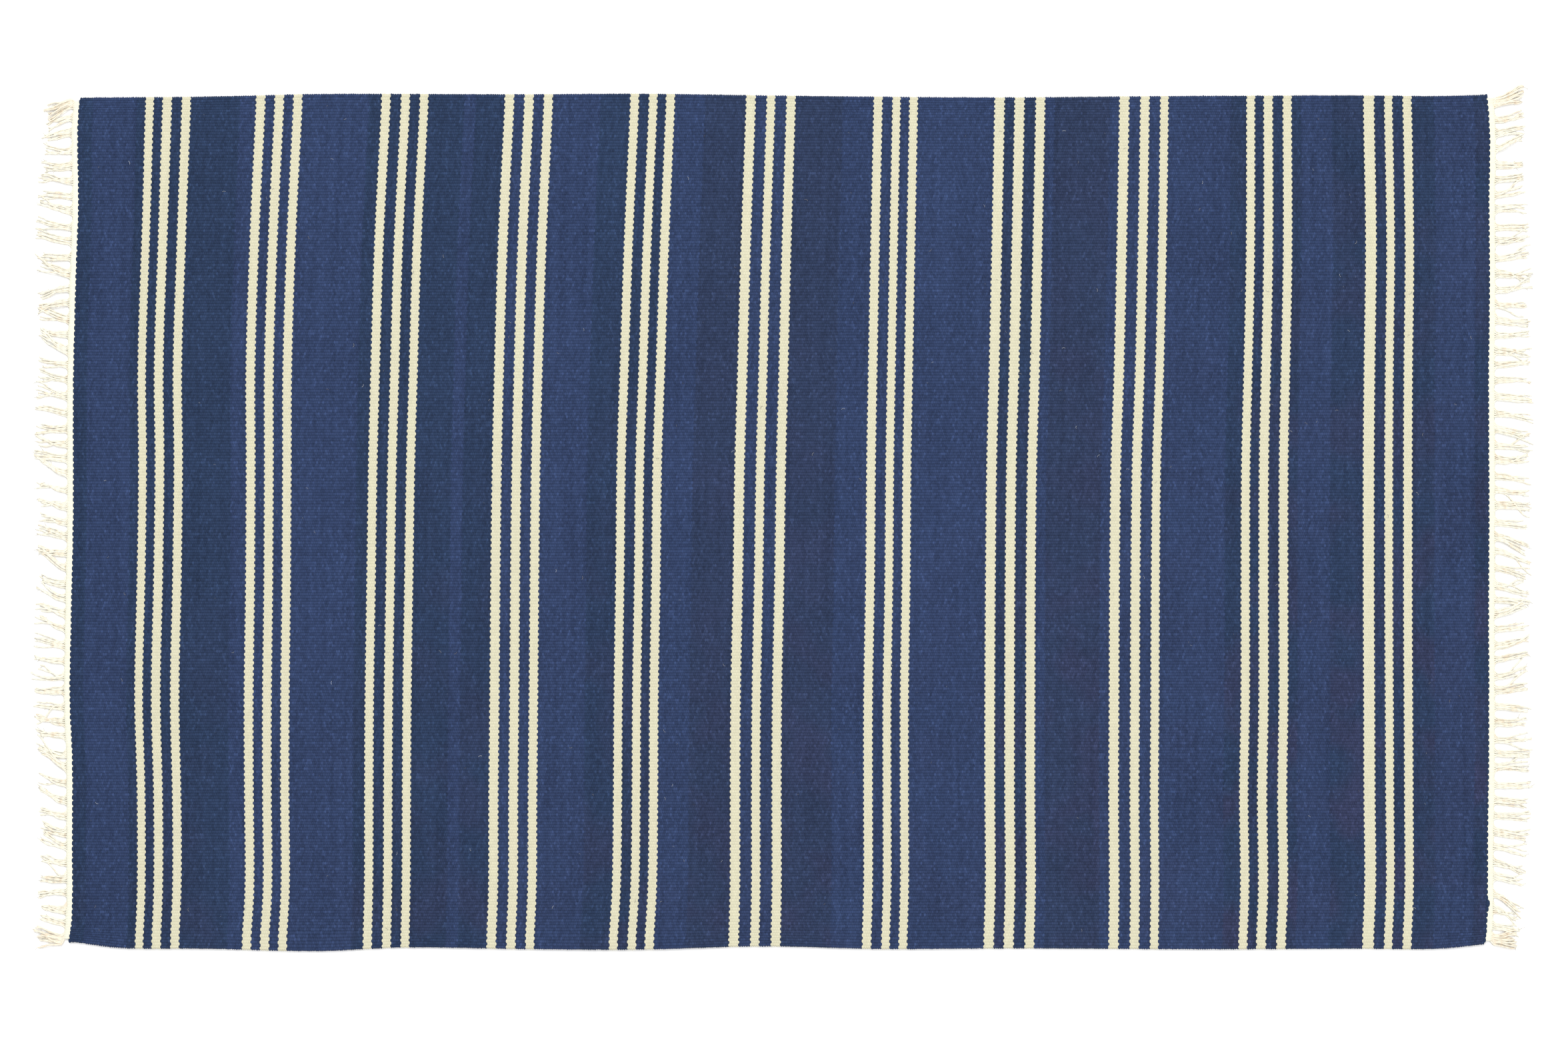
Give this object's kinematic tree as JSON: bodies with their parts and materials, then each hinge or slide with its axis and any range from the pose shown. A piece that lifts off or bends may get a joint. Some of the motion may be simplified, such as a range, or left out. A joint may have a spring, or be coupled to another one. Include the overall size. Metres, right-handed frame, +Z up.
{
  "type": "kilim rug",
  "caption": "Flat-woven striped kilim rug lying flat, with a narrow cotton heading and a warp fringe at both short ends.",
  "frame": {"origin": "under the middle of the rug's full reach, fringes included, on the surface that it lies on", "axes": "+X along the rug's length towards its right end, +Y across it, +Z up"},
  "size_m": [1.5816, 0.9088, 0.0032],
  "materials": {
    "wool_field": "matt weft-faced wool in royal and navy blue bands with narrow ecru stripes in threes",
    "cotton_fringe": "matt cream cotton, woven as a narrow heading and loose as twisted warp ends"
  },
  "bodies": {
    "root": {"woven_field": "wool_field", "fringe_left": "cotton_fringe", "fringe_right": "cotton_fringe"}
  },
  "joints": []
}
